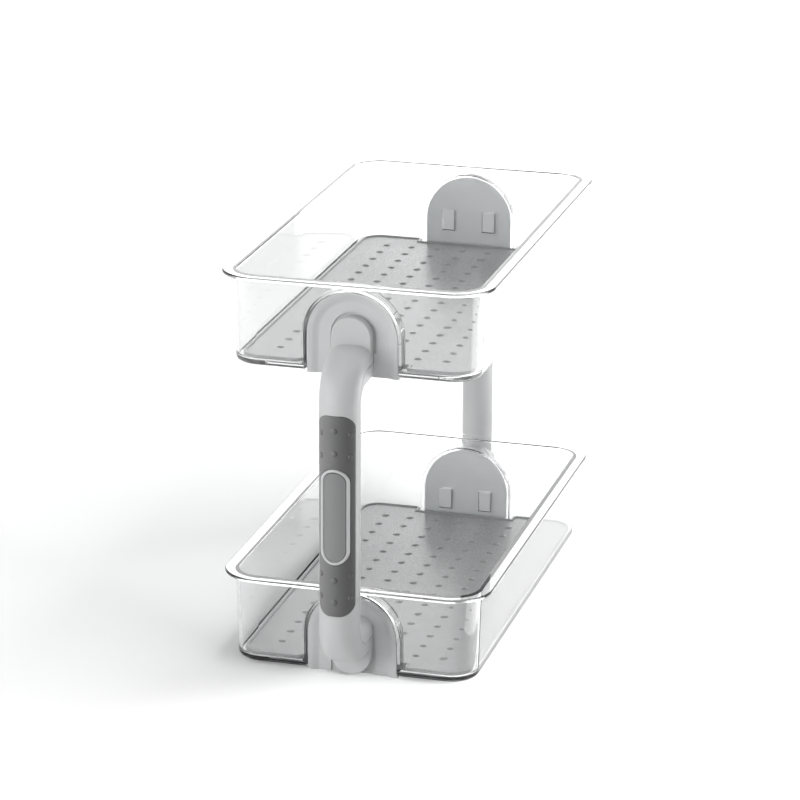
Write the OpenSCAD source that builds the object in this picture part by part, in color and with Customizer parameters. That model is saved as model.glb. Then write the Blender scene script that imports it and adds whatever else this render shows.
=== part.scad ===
// Tiered organizer: two clear bins one above the other, joined at both
// short ends by C-shaped handles, each bin lined with a loose domed mat.
// X runs across the bins, Y runs along them with the grip handle at -Y,
// Z runs up from the table. All lengths are in millimetres.

/* [View] */

// Sub-part to draw

/* [Bins] */

// Width of a bin across its rim
rim_width = 152; // [130:1:200]
// Length of a bin along its rim
rim_depth = 274; // [220:1:360]
// Height of a bin from the foot it stands on to its rim
bin_height = 53; // [51:0.5:80]
// Height of one tier, from one foot to the next
tier_pitch = 172; // [150:1:260]
// Radius of the rim's corners in plan
rim_corner_radius = 23; // [20:0.5:34]
// How far the flat lip stands out beyond the wall
lip_overhang = 6; // [3:0.5:8]
// Thickness of the lip
lip_thickness = 2; // [1.6:0.1:3]
// Thickness of the clear walls
wall_thickness = 1.8; // [1.4:0.1:2.4]
// How far the walls lean in from the lip down to the underside
wall_draft = 1.4; // [0.4:0.1:3]
// Thickness of the floor
floor_thickness = 2.4; // [1.6:0.1:3.5]
// Radius of the outer edge under the walls
foot_radius = 5; // [3:0.5:6]
// Radius of the inner edge between floor and wall
floor_fillet = 2.2; // [1.6:0.1:3]
// Height of the foot rim that carries a bin, under its floor
foot_rim_height = 2.2; // [1.5:0.1:2.4]
// Width of the foot rim
foot_rim_width = 2; // [1.4:0.1:3]
// How far the foot rim keeps clear of the alcoves
foot_rim_setback = 2; // [1:0.1:4]

/* [Alcoves] */

// Radius of the arched alcove in each short wall
alcove_radius = 26; // [24:0.5:32]
// Height of the arch's centre above the bin's foot
alcove_rise = 21.8; // [20:0.1:23]
// Depth of the alcove behind the short wall's face
alcove_depth = 8.5; // [8:0.1:10]
// Half distance between the near edges of a pair of snap windows
window_start = 8.5; // [6:0.1:9]
// Width of a snap window
window_width = 7.6; // [5:0.1:9]
// Height of a snap window
window_height = 12.5; // [8:0.1:13]
// Height of the upper bin's windows above its foot
window_rise_upper = 14.8; // [6:0.1:16]
// Height of the lower bin's windows above its foot
window_rise_lower = 9.8; // [6:0.1:16]

/* [Handles] */

// Radius of the grip handle's post
post_radius = 11.1; // [10:0.1:12]
// Radius of the plain rear handle's post
rear_post_radius = 9; // [8:0.1:10]
// Clear distance between a post and the rim
post_gap = 2.2; // [1.5:0.1:6]
// Bend radius of the elbows at the post's axis
bend_radius = 16; // [15:0.5:18]
// Edge radius of the arms where they reach the bin
arm_edge_radius = 7; // [5:0.5:8]
// Wall of the hollow posts and arms
shell = 2.2; // [1.8:0.1:2.6]
// Height of the upper arm's top above the upper bin's foot
upper_arm_top = 18.7; // [17:0.1:20]
// Height of the lower arm's underside above the table
lower_arm_foot = 12.1; // [11:0.1:14]
// Thickness of the plates that fill the alcoves
plate_thickness = 4.2; // [3.8:0.1:4.6]
// Width of the flat border round a plate
plate_border = 2.2; // [1.5:0.1:3]
// Width of the sloping band inside the border
dish_slope_width = 4.5; // [3:0.1:6]
// Depth of the plate's dished field
dish_depth = 1.2; // [0.6:0.1:1.5]
// Gap round a cover's tongue
slot_gap = 1.6; // [1:0.1:2]
// Material left behind a tongue
slot_floor = 1.9; // [1.4:0.1:2.2]
// Height of the ledge that ends the upper gap, above the foot
ledge_rise = 13.5; // [12:0.1:16]
// Height of the upper tongue's arc centre above the foot
upper_tongue_rise = 22.6; // [21:0.1:23]
// Height of the lower tongue's arc centre above the table
lower_tongue_rise = 12.2; // [12.1:0.1:13]

/* [Grip] */

// Length of the grip pad
grip_length = 113.5; // [90:0.5:115]
// How far the pad's middle lies above the middle of the post
grip_lift = 2.3; // [0:0.1:4]
// Half width of the grip pad, seen from the front
grip_half_width = 10.2; // [9:0.1:10.4]
// Corner radius of the grip pad
grip_corner_radius = 7; // [4:0.5:9]
// Thickness of the grip pad
grip_thickness = 1.5; // [1:0.1:1.8]
// How far the grip pad stands proud of the post
grip_proud = 0.3; // [0.1:0.1:0.6]
// Length of the oval badge
badge_length = 54.3; // [40:0.5:60]
// Half width of the oval badge, seen from the front
badge_half_width = 8; // [6:0.1:8.5]
// Width of the badge's raised ring
badge_ring_width = 1.7; // [1.2:0.1:2.2]
// How far the ring stands proud of the grip pad
badge_ring_proud = 0.6; // [0.3:0.1:0.9]
// How far the bare oval field stands proud of the grip pad
badge_field_proud = 0.1; // [0.1:0.1:0.2]
// Radius of the grip bumps
bump_radius = 1.7; // [1.2:0.1:2]
// How far the bumps stand proud of the grip pad
bump_proud = 0.5; // [0.3:0.1:0.6]
// Distance between the two bumps of a column
bump_spacing = 12.6; // [10:0.1:13]
// Distance of the middle bump pairs from the pad's middle
bump_offset = 42.2; // [40:0.1:44]
// How much nearer the middle the side pairs lie
bump_stagger = 2.3; // [0:0.1:4]
// Angle of the side columns of bumps
bump_angle = 46; // [40:1:50]

/* [Mats] */

// Thickness of a mat's sheet
mat_thickness = 1.8; // [1.2:0.1:2.5]
// Width of the raised border round a mat
mat_border_width = 1.6; // [1:0.1:1.9]
// Height of the border above the sheet
mat_border_height = 0.7; // [0.4:0.1:1]
// Distance between the mat's columns of domes
column_pitch = 15.5; // [13:0.5:17]
// Distance between the mat's rows of domes
row_pitch = 15.1; // [13:0.1:17]
// Radius of a dome at the sheet
dome_radius = 3; // [2:0.1:4]
// Height of a dome above the sheet
dome_height = 0.9; // [0.6:0.1:1.5]
// Columns of domes across the mat
dome_columns = 7; // [5:1:7]
// Rows of domes along the mat
dome_rows = 15; // [10:1:15]
// Radius of the mat's corners beside the alcoves
notch_corner_radius = 3; // [2:0.5:4]

/* [Clearances] */

// Gap between pieces that are fitted together
fit_gap = 0.3; // [0.2:0.05:0.4]
// How far cutting shapes run past the faces they cut
overrun = 1; // [0.5:0.5:2]

/* [Hidden] */

$fn = 96;

corner_x = rim_width / 2 - rim_corner_radius;
corner_y = rim_depth / 2 - rim_corner_radius;
lip_edge_radius = lip_thickness / 2;
lip_underside = bin_height - lip_thickness;

// Distance of the wall's outer face from the corner centre at height z.
function wall_u(z) = rim_corner_radius - lip_overhang
    - wall_draft * (lip_underside - z) / lip_underside;

foot_u = wall_u(foot_rim_height + foot_radius) - foot_radius;
floor_top = foot_rim_height + floor_thickness;
cavity_foot = floor_top + floor_fillet;
cavity_u = wall_u(cavity_foot) - wall_thickness - floor_fillet;

// Distances from the middle of the bins to the short wall and into it.
wall_face = corner_y + wall_u(alcove_rise);
alcove_back = wall_face - alcove_depth;
alcove_inside = alcove_back - wall_thickness;
plate_back = alcove_back + fit_gap;
plate_face = plate_back + plate_thickness;
plate_field = plate_face - dish_depth;
tongue_back = plate_back + slot_floor + fit_gap;
plate_radius = alcove_radius - fit_gap;
dish_radius = plate_radius - plate_border;
field_radius = dish_radius - dish_slope_width;

// Heights of the arms' axes and of the elbows' centres.
upper_arm_axis = tier_pitch + upper_arm_top - post_radius;
lower_arm_axis = lower_arm_foot + post_radius;
upper_bend = upper_arm_axis - bend_radius;
lower_bend = lower_arm_axis + bend_radius;

front_axis = rim_depth / 2 + post_gap + post_radius;
rear_axis = rim_depth / 2 + post_gap + rear_post_radius;

grip_middle = (upper_bend + lower_bend) / 2 + grip_lift;
grip_outer = post_radius + grip_proud;
grip_inner = grip_outer - grip_thickness;
badge_inner_half = badge_half_width - badge_ring_width;
badge_inner_length = badge_length - 2 * badge_ring_width;
badge_back = grip_inner;

foot_rim_y = alcove_inside - foot_rim_setback;
foot_rim_x = foot_rim_y - corner_y + corner_x;

mat_x = corner_x + cavity_u;
mat_y = corner_y + cavity_u;
mat_corner = cavity_u;
notch_half_width = alcove_radius + wall_thickness + slot_gap;
notch_edge = alcove_inside - fit_gap - fit_gap;
dome_sphere_radius = (dome_radius * dome_radius + dome_height * dome_height) / (2 * dome_height);
bump_sphere_radius = (bump_radius * bump_radius + bump_proud * bump_proud) / (2 * bump_proud);

// The grip handle reaches farther out than the rear one, so everything is
// moved along Y until the whole object stands evenly about the origin.
front_reach = front_axis + grip_outer + badge_ring_proud;
rear_reach = rear_axis + rear_post_radius;
centring = (front_reach - rear_reach) / 2;

clear_tone = [0.86, 0.89, 0.91, 0.45];
mat_tone = [0.62, 0.63, 0.64];
handle_tone = [0.74, 0.75, 0.76];
grip_tone = [0.38, 0.39, 0.40];
field_tone = [0.66, 0.67, 0.68];

// Half of a bin's cross-section out to its skin, lip and rounded foot.
module outer_profile() {
    polygon([
        [0, foot_rim_height],
        [foot_u, foot_rim_height],
        [foot_u + foot_radius, foot_rim_height + foot_radius],
        [wall_u(lip_underside), lip_underside],
        [rim_corner_radius - lip_edge_radius, lip_underside],
        [rim_corner_radius - lip_edge_radius, bin_height],
        [0, bin_height]
    ]);
    translate([foot_u, foot_rim_height + foot_radius]) circle(r = foot_radius);
    translate([rim_corner_radius - lip_edge_radius, bin_height - lip_edge_radius])
        circle(r = lip_edge_radius);
}

// Half of the hollow inside a bin, running out past the rim.
module cavity_profile() {
    polygon([
        [0, floor_top],
        [cavity_u, floor_top],
        [cavity_u + floor_fillet, cavity_foot],
        [wall_u(bin_height + overrun) - wall_thickness, bin_height + overrun],
        [0, bin_height + overrun]
    ]);
    translate([cavity_u, cavity_foot]) circle(r = floor_fillet);
}

// Carries a profile along one straight side of the rim.
module tray_side(turn, reach, run) {
    rotate([0, 0, turn])
        translate([reach, 0, 0])
            rotate([90, 0, 0])
                linear_extrude(height = run, center = true)
                    children();
}

// Carries a profile right round the rim and fills the middle.
module tray(base, top) {
    for (turn = [0, 180]) {
        tray_side(turn, corner_x, 2 * corner_y) children();
        tray_side(turn + 90, corner_y, 2 * corner_x) children();
    }
    for (corner = [[1, 1, 0], [-1, 1, 90], [-1, -1, 180], [1, -1, 270]])
        translate([corner[0] * corner_x, corner[1] * corner_y, 0])
            rotate([0, 0, corner[2]])
                rotate_extrude(angle = 90)
                    children();
    translate([-corner_x, -corner_y, base])
        cube([2 * corner_x, 2 * corner_y, top - base]);
}

// Arched outline standing on a straight foot, drawn in X and Z.
module arch(radius, rise, foot) {
    intersection() {
        translate([0, rise]) circle(r = radius);
        translate([-radius, rise]) square([2 * radius, radius]);
    }
    translate([-radius, foot]) square([2 * radius, rise - foot]);
}

// Stands an X-Z outline up between two distances towards the -Y end.
module stand(near, far) {
    translate([0, -near, 0])
        rotate([90, 0, 0])
            linear_extrude(height = far - near)
                children();
}

module both_ends() {
    children();
    mirror([0, 1, 0]) children();
}

module bin(window_rise) {
    difference() {
        union() {
            difference() {
                tray(foot_rim_height, bin_height) outer_profile();
                tray(floor_top, bin_height + overrun) cavity_profile();
            }
            intersection() {
                both_ends()
                    stand(alcove_inside, rim_depth / 2)
                        arch(alcove_radius + wall_thickness, alcove_rise, 0);
                tray(foot_rim_height, bin_height) outer_profile();
            }
            foot_rim();
        }
        both_ends() {
            stand(alcove_back, rim_depth / 2 + overrun)
                arch(alcove_radius, alcove_rise, -overrun);
            stand(alcove_inside - overrun, alcove_back + overrun)
                windows(window_rise, 0);
        }
    }
}

// Low rim under the floor, reaching halfway up into it.
module foot_rim() {
    linear_extrude(height = foot_rim_height + floor_thickness / 2)
        difference() {
            round_rect(foot_rim_x, foot_rim_y, cavity_u);
            round_rect(foot_rim_x - foot_rim_width, foot_rim_y - foot_rim_width, cavity_u - foot_rim_width);
        }
}

// A pair of upright rectangles, shrunk all round by the given gap.
module windows(rise, gap) {
    for (side = [0, 1])
        mirror([side, 0])
            translate([window_start + gap, rise + gap])
                square([window_width - 2 * gap, window_height - 2 * gap]);
}

module round_rect(half_x, half_y, corner) {
    square([2 * half_x, 2 * (half_y - corner)], center = true);
    square([2 * (half_x - corner), 2 * half_y], center = true);
    for (sx = [-1, 1], sy = [-1, 1])
        translate([sx * (half_x - corner), sy * (half_y - corner)])
            circle(r = corner);
}

// Quarter bend from an upright post at -Y over to a level arm of length run.
module elbow(radius, trim, run) {
    rotate([90, 0, -90]) {
        rotate_extrude(angle = 90)
            translate([bend_radius, 0])
                round_rect(radius - trim, radius - trim, arm_edge_radius - trim);
        rotate([0, 0, 90])
            translate([bend_radius, 0, 0])
                rotate([-90, 0, 0])
                    linear_extrude(height = run)
                        round_rect(radius - trim, radius - trim, arm_edge_radius - trim);
    }
}

// C-shaped tube: post, two elbows and two arms that end at the given
// distance. The elbows keep within the post's own round plan.
module tube(radius, axis, trim, root) {
    size = radius - trim;
    arm_start = axis - bend_radius;
    translate([0, -axis, lower_bend])
        cylinder(r = size, h = upper_bend - lower_bend);
    intersection() {
        union() {
            translate([0, -arm_start, upper_bend])
                elbow(radius, trim, arm_start - root);
            translate([0, -arm_start, lower_bend])
                mirror([0, 0, 1])
                    elbow(radius, trim, arm_start - root);
        }
        linear_extrude(height = tier_pitch + bin_height) {
            translate([0, -axis]) circle(r = size);
            translate([-size, -axis]) square([2 * size, axis]);
        }
    }
}

// Block between the arms' axes and inside the post's axis. Whatever of the
// tube lies in it belongs to the bracket, the rest to the cover.
module inner_block(radius, axis, grow) {
    arm_start = axis - bend_radius;
    round_size = bend_radius + grow;
    translate([-radius - overrun, 0, 0])
        rotate([90, 0, 90])
            linear_extrude(height = 2 * (radius + overrun)) {
                translate([-arm_start, lower_arm_axis - grow])
                    square([arm_start, upper_arm_axis - lower_arm_axis + 2 * grow]);
                translate([-axis - grow, lower_bend])
                    square([bend_radius + grow, upper_bend - lower_bend]);
                for (height = [lower_bend, upper_bend])
                    translate([-arm_start, height]) circle(r = round_size);
            }
}

// Plate that fills an alcove, with its dished field.
module plate() {
    difference() {
        stand(plate_back, plate_face) arch(plate_radius, alcove_rise, 0);
        translate([0, -plate_field, alcove_rise])
            rotate([90, 0, 0])
                cylinder(r1 = field_radius, r2 = dish_radius, h = dish_depth);
        translate([0, 0, -overrun])
            linear_extrude(height = alcove_rise + overrun)
                polygon([
                    [-field_radius, -plate_field],
                    [-dish_radius, -plate_face],
                    [dish_radius, -plate_face],
                    [field_radius, -plate_field]
                ]);
    }
}

module plate_with_slot(radius, slot_foot, seam_foot) {
    difference() {
        plate();
        stand(plate_back + slot_floor, plate_face + overrun) {
            arch(radius + slot_gap, upper_tongue_rise, slot_foot);
            translate([-radius - fit_gap, seam_foot])
                square([2 * (radius + fit_gap), upper_tongue_rise - seam_foot]);
        }
    }
}

// Inner half of a handle: tube half, two plates and their snap tabs.
module bracket(radius, axis) {
    translate([0, 0, tier_pitch]) {
        plate_with_slot(radius, ledge_rise, upper_arm_axis - tier_pitch);
        stand(alcove_inside + fit_gap, plate_back) windows(window_rise_upper, fit_gap);
    }
    plate_with_slot(radius, -overrun, -overrun);
    stand(alcove_inside + fit_gap, plate_back) windows(window_rise_lower, fit_gap);
    intersection() {
        difference() {
            tube(radius, axis, 0, plate_back);
            tube(radius, axis, shell, wall_face);
        }
        inner_block(radius, axis, 0);
    }
}

// Outer half of a handle: tube half and the two flat tongues.
module cover(radius, axis) {
    difference() {
        union() {
            difference() {
                tube(radius, axis, 0, tongue_back);
                tube(radius, axis, shell, wall_face);
            }
            stand(tongue_back, wall_face) {
                translate([0, tier_pitch])
                    arch(radius, upper_tongue_rise, upper_arm_axis - tier_pitch);
                translate([0, lower_tongue_rise]) circle(r = radius);
                translate([-radius, lower_tongue_rise])
                    square([2 * radius, lower_arm_axis - lower_tongue_rise]);
            }
        }
        inner_block(radius, axis, fit_gap);
    }
}

// Curved layer on the front of the grip post between two radii.
module post_layer(inner, outer) {
    intersection() {
        translate([0, -front_axis, lower_bend])
            difference() {
                cylinder(r = outer, h = upper_bend - lower_bend);
                translate([0, 0, -overrun])
                    cylinder(r = inner, h = upper_bend - lower_bend + 2 * overrun);
            }
        stand(front_axis, front_axis + post_radius + post_radius)
            translate([0, grip_middle])
                children();
    }
}

module pad_outline(grow) {
    round_rect(grip_half_width + grow, grip_length / 2 + grow, grip_corner_radius + grow);
}

module badge_outline(grow) {
    straight = badge_length / 2 - badge_half_width;
    square([2 * (badge_half_width + grow), 2 * straight], center = true);
    for (end = [-1, 1])
        translate([0, end * straight])
            circle(r = badge_half_width + grow);
}

module bumps() {
    for (end = [-1, 1], pair = [-1, 1], side = [-1, 0, 1])
        translate([0, -front_axis, grip_middle + end * (bump_offset - abs(side) * bump_stagger)])
            rotate([0, 0, side * bump_angle])
                translate([0, -grip_outer + bump_sphere_radius - bump_proud, pair * bump_spacing / 2])
                    sphere(r = bump_sphere_radius);
}

// Corner square with its round taken out, for rounding an outer corner.
module corner_cut(corner) {
    difference() {
        square([corner, corner]);
        circle(r = corner);
    }
}

// Mat seen from above, drawn the given distance inside its edge.
module mat_outline(inset) {
    notch = notch_half_width + inset;
    corner = notch_corner_radius - inset;
    difference() {
        round_rect(mat_x - inset, mat_y - inset, mat_corner - inset);
        for (end = [0, 1])
            mirror([0, end]) {
                translate([-notch, notch_edge - inset])
                    square([2 * notch, mat_y]);
                for (side = [0, 1])
                    mirror([side, 0])
                        translate([notch + corner, mat_y - inset - corner])
                            mirror([1, 0])
                                corner_cut(corner);
            }
    }
}

module mat() {
    translate([0, 0, floor_top]) {
        linear_extrude(height = mat_thickness) mat_outline(0);
        linear_extrude(height = mat_thickness + mat_border_height)
            difference() {
                mat_outline(0);
                mat_outline(mat_border_width);
            }
        intersection() {
            for (column = [0 : dome_columns - 1], row = [0 : dome_rows - 1])
                translate([
                    (column - (dome_columns - 1) / 2) * column_pitch,
                    (row - (dome_rows - 1) / 2) * row_pitch,
                    mat_thickness + dome_height - dome_sphere_radius
                ])
                    sphere(r = dome_sphere_radius);
            translate([-mat_x, -mat_y, mat_thickness])
                cube([2 * mat_x, 2 * mat_y, dome_height]);
        }
    }
}

module lower_bin() {
    color(clear_tone) translate([0, centring, 0]) bin(window_rise_lower);
}

module upper_bin() {
    color(clear_tone) translate([0, centring, tier_pitch]) bin(window_rise_upper);
}

module lower_mat() {
    color(mat_tone) translate([0, centring, 0]) mat();
}

module upper_mat() {
    color(mat_tone) translate([0, centring, tier_pitch]) mat();
}

module front_bracket() {
    color(handle_tone) translate([0, centring, 0]) bracket(post_radius, front_axis);
}

module front_cover() {
    color(handle_tone)
        translate([0, centring, 0])
            difference() {
                cover(post_radius, front_axis);
                post_layer(grip_inner - fit_gap, grip_outer) pad_outline(fit_gap);
            }
}

module grip() {
    color(grip_tone)
        translate([0, centring, 0])
            difference() {
                union() {
                    post_layer(grip_inner, grip_outer) pad_outline(0);
                    difference() {
                        bumps();
                        translate([0, -front_axis, lower_bend])
                            cylinder(r = grip_inner + fit_gap, h = upper_bend - lower_bend);
                    }
                }
                post_layer(grip_inner - overrun, grip_outer + overrun) badge_outline(fit_gap);
            }
}

module badge_ring() {
    color(handle_tone)
        translate([0, centring, 0])
            post_layer(badge_back, grip_outer + badge_ring_proud)
                difference() {
                    badge_outline(0);
                    badge_outline(-badge_ring_width);
                }
}

module badge_field() {
    color(field_tone)
        translate([0, centring, 0])
            post_layer(badge_back, grip_outer + badge_field_proud)
                badge_outline(-badge_ring_width - fit_gap);
}

module rear_bracket() {
    color(handle_tone)
        translate([0, centring, 0])
            mirror([0, 1, 0]) bracket(rear_post_radius, rear_axis);
}

module rear_cover() {
    color(handle_tone)
        translate([0, centring, 0])
            mirror([0, 1, 0]) cover(rear_post_radius, rear_axis);
}

lower_bin();
upper_bin();
lower_mat();
upper_mat();
front_bracket();
front_cover();
grip();
badge_ring();
badge_field();
rear_bracket();
rear_cover();
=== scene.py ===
# %% [markdown]
# # Dressing a tiered spice organizer
# Two clear bins stand one above the other. A C-shaped handle at each short end holds them apart,
# and a soft mat with rows of low domes lies in each bin. The working model gives every piece its
# true size and place, so this lesson starts by loading that model as a fixed frame. After that
# each piece is modelled again with the soft edges, seams and finishes that a camera sees.

# %% Load the working model
from math import asin, cos, pi, radians, sin

import bmesh
import bpy
from mathutils import Matrix, Vector


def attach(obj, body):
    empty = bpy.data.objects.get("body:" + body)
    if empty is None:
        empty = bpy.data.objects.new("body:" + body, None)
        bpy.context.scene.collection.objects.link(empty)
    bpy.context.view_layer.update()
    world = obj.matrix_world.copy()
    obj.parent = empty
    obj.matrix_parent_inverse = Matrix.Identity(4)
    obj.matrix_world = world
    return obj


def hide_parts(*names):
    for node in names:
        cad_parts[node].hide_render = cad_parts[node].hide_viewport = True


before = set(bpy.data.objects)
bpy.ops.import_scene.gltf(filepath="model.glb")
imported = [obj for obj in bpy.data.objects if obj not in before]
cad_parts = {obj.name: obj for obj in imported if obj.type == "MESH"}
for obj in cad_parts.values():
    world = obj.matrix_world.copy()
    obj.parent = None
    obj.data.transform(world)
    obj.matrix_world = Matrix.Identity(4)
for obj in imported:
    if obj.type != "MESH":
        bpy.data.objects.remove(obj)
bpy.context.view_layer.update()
print("nodes to dress:", sorted(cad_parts))

# %% [markdown]
# ## One set of sizes
# The organizer was drawn in millimetres, measured from the middle of the bins, and Blender works
# in metres. A moulder would keep one sheet of sizes for all the parts, because the plates have to
# drop into the bins and the grip into its handle. So the sizes stand here once, and every
# piece below takes its own from them. `to_row` makes the step to metres, and moves the whole
# organizer a little along Y, because the padded handle reaches farther out than the plain one.

# %% Sizes in millimetres
MM = 0.001
RIM_WIDTH = 152
RIM_DEPTH = 274
BIN_HEIGHT = 53
TIER_PITCH = 172
RIM_CORNER = 23
LIP_OVERHANG = 6
LIP_THICKNESS = 2
WALL = 1.8
DRAFT = 1.4
FLOOR = 2.4
FOOT_RADIUS = 2.2
FLOOR_FILLET = 2.2
FOOT_RIM_HEIGHT = 2.2
FOOT_RIM_WIDTH = 2
FOOT_RIM_SETBACK = 2
ALCOVE_RADIUS = 26
ALCOVE_RISE = 21.8
ALCOVE_DEPTH = 8.5
POST_RADIUS = 11.1
REAR_POST_RADIUS = 9
POST_GAP = 2.2
BEND_RADIUS = 16
UPPER_ARM_TOP = 18.7
LOWER_ARM_FOOT = 12.1
GRIP_PROUD = 0.3
RING_PROUD = 0.6
FIT_GAP = 0.3

CORNER_X = RIM_WIDTH / 2 - RIM_CORNER
CORNER_Y = RIM_DEPTH / 2 - RIM_CORNER
FRONT_AXIS = RIM_DEPTH / 2 + POST_GAP + POST_RADIUS
REAR_AXIS = RIM_DEPTH / 2 + POST_GAP + REAR_POST_RADIUS
GRIP_SKIN = POST_RADIUS + GRIP_PROUD
CENTRING = (FRONT_AXIS + GRIP_SKIN + RING_PROUD - REAR_AXIS - REAR_POST_RADIUS) / 2


def to_row(points):
    return [(x * MM, (y + CENTRING) * MM, z * MM) for x, y, z in points]


print("everything moves along Y by", round(CENTRING, 3), "mm")

# %% [markdown]
# ## Skins over rings
# Most moulded parts can be thought of as rings of points with a skin stretched over them: the
# rings of a bin follow its rim, and the rings of a tube follow its bends. This way is
# chosen over scaled cubes and cylinders, because every ring can carry its own edge radius.
# `eased` rounds such an edge, and `new_piece` turns points and faces into an object and
# makes all its faces look outwards.

# %% Helpers for rings and skins
FRONT = -1
REAR = 1


def arc(centre, radius, start, end, steps):
    """Points on an arc in a flat profile, from one angle to another in degrees."""
    angles = [radians(start + (end - start) * k / steps) for k in range(steps + 1)]
    return [(centre[0] + radius * cos(a), centre[1] + radius * sin(a)) for a in angles]


def eased(radius, steps=4):
    """A quarter round on an edge, as pairs of how far in and how far down from its corner."""
    turns = [pi / 2 * k / steps for k in range(steps + 1)]
    return [(radius * (1 - cos(a)), radius * (1 - sin(a))) for a in turns]


def skin(rings):
    """Points and faces of a closed skin over rings with equal numbers of points."""
    count = len(rings[0])
    faces = []
    for r in range(len(rings) - 1):
        for k in range(count):
            low, low_next = r * count + k, r * count + (k + 1) % count
            faces.append((low, low_next, low_next + count, low + count))
    faces.append(tuple(range(count)))
    faces.append(tuple(range((len(rings) - 1) * count, len(rings) * count)))
    return [p for ring in rings for p in ring], faces


print("a 1 mm round on an edge:", [(round(inset, 2), round(drop, 2)) for inset, drop in eased(1)])

# %% Helpers for closed hoops and objects
def hoop(rings):
    """A skin whose last ring meets the first one again."""
    points, faces = skin(rings)
    del faces[-2:]
    count = len(rings[0])
    last = len(points) - count
    faces += [(k, (k + 1) % count, last + (k + 1) % count, last + k) for k in range(count)]
    return points, faces


def add(name, data):
    """Puts a mesh, a lamp or a camera into the scene."""
    thing = bpy.data.objects.new(name, data)
    bpy.context.scene.collection.objects.link(thing)
    return thing


def new_piece(name, points, faces):
    mesh = bpy.data.meshes.new(name)
    mesh.from_pydata(to_row(points), [], faces)
    work = bmesh.new()
    work.from_mesh(mesh)
    bmesh.ops.recalc_face_normals(work, faces=work.faces)
    work.to_mesh(mesh)
    work.free()
    return add(name, mesh)


# %% [markdown]
# ## Cutting and joining
# A moulding has pockets and holes, and Blender's Boolean modifier cuts them exactly. The result
# is taken from the evaluated object at once, so that no helper solid stays in the scene.
# `finish` then smooths a piece, keeps its real edges sharp, and weights the normals by
# face area, which keeps large flat walls flat right up to their round corners.

# %% Helpers for cutting and finishing
AREA_WEIGHT = 60


def take_modifiers(piece):
    view = bpy.context.evaluated_depsgraph_get()
    mesh = bpy.data.meshes.new_from_object(piece.evaluated_get(view))
    old = piece.data
    piece.modifiers.clear()
    piece.data = mesh
    bpy.data.meshes.remove(old)


def combine(piece, tool, operation):
    """Cuts tool out of piece, or adds it, and then throws the tool away."""
    step = piece.modifiers.new(operation, "BOOLEAN")
    step.operation = operation
    step.solver = "EXACT"
    step.object = tool
    take_modifiers(piece)
    left_over = tool.data
    bpy.data.objects.remove(tool)
    bpy.data.meshes.remove(left_over)


def finish(piece, material, body, nodes, sharp):
    piece.data.materials.clear()
    piece.data.materials.append(material)
    piece.data.shade_smooth()
    piece.data.set_sharp_from_angle(angle=radians(sharp))
    weighted = piece.modifiers.new("even_normals", "WEIGHTED_NORMAL")
    weighted.keep_sharp = True
    weighted.weight = AREA_WEIGHT
    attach(piece, body)
    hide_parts(*nodes)
    print(piece.name, "has", len(piece.data.polygons), "faces")


# %% [markdown]
# ## Nodes for materials
# Each finish below is a small tree of shader nodes. The same few steps come back in all of
# them: a noise in the piece's own coordinates, stretched to a real size, that moves the
# roughness a little and raises a fine bump. The helpers here make and join these nodes.

# %% Helpers for nodes
NOISE_LOW = 0.3
NOISE_HIGH = 0.7
GRAIN_DEPTH = 0.05
GRAIN_MIX = 0.55


def node(tree, kind, **settings):
    """A new node, with its properties and input values set by name."""
    made = tree.nodes.new(kind)
    for key, value in settings.items():
        if hasattr(made, key):
            setattr(made, key, value)
        else:
            made.inputs[key.replace("_", " ")].default_value = value
    return made


def grain(tree, size_mm, detail=3.0):
    """Noise whose cells measure about size_mm on the piece."""
    place = node(tree, "ShaderNodeTexCoord")
    noise = node(tree, "ShaderNodeTexNoise", Scale=1 / (size_mm * MM), Detail=detail,
                 Roughness=GRAIN_MIX)
    tree.links.new(place.outputs["Object"], noise.inputs["Vector"])
    return noise


def ranged(tree, source, start, end, low, high):
    """Turns a value from start to end into one from low to high."""
    step = node(tree, "ShaderNodeMapRange")
    for name, value in (("From Min", start), ("From Max", end), ("To Min", low), ("To Max", high)):
        step.inputs[name].default_value = value
    tree.links.new(source, step.inputs["Value"])
    return step.outputs["Result"]


def between(tree, noise, low, high):
    """Turns a noise into values from low to high."""
    return ranged(tree, noise.outputs["Fac"], NOISE_LOW, NOISE_HIGH, low, high)


def raised(tree, noise, shader, strength):
    """Raises a noise as a fine bump on the surface."""
    bump = node(tree, "ShaderNodeBump", Strength=strength, Distance=GRAIN_DEPTH * MM)
    tree.links.new(noise.outputs["Fac"], bump.inputs["Height"])
    tree.links.new(bump.outputs["Normal"], shader.inputs["Normal"])


def new_material(name):
    """An empty material with its node tree and its Principled shader."""
    material = bpy.data.materials.new(name)
    material.use_nodes = True
    tree = material.node_tree
    return material, tree, tree.nodes["Principled BSDF"]


print("a noise between", NOISE_LOW, "and", NOISE_HIGH, "is stretched over the whole range")

# %% [markdown]
# ## The clear plastic
# The bins are polished clear styrene. Principled with full transmission bends what is behind
# it, as the real plastic does, and a very faint noise keeps the gloss from looking like
# glass optics. Lamps would cast caustic noise through it, so a ray on its way to a lamp
# meets a Transparent shader in its place, tinted only a little.

# %% Clear plastic
CLEAR_TINT = (0.965, 0.97, 0.97, 1)
LAMP_TINT = (0.82, 0.83, 0.83, 1)
STYRENE_IOR = 1.57
SWIRL_SIZE = 18
SWIRL_BUMP = 0.05
CLEAR_GLOSS = (0.012, 0.03)

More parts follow.
